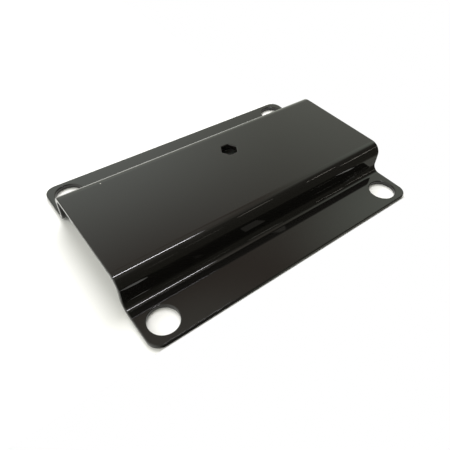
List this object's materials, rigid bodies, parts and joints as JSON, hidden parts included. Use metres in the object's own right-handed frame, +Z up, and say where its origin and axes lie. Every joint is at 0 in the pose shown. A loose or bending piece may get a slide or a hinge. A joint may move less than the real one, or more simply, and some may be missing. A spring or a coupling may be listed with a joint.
{
  "type": "bracket",
  "caption": "Folded sheet bracket of hat section in gloss black paint, with a raised flat crown, side flanges, round bolt holes and a small hexagonal hole in the crown.",
  "frame": {"origin": "middle of the footprint, on the surface that the flanges lie on", "axes": "+Z up, out of the crown; +X along the folds, the longest side; +Y across the folds, towards the side of the crown that has the hexagonal hole"},
  "size_m": [0.2, 0.142, 0.0235],
  "materials": {
    "black_paint": "gloss"
  },
  "bodies": {
    "root": {"bracket": "black_paint"}
  },
  "joints": []
}
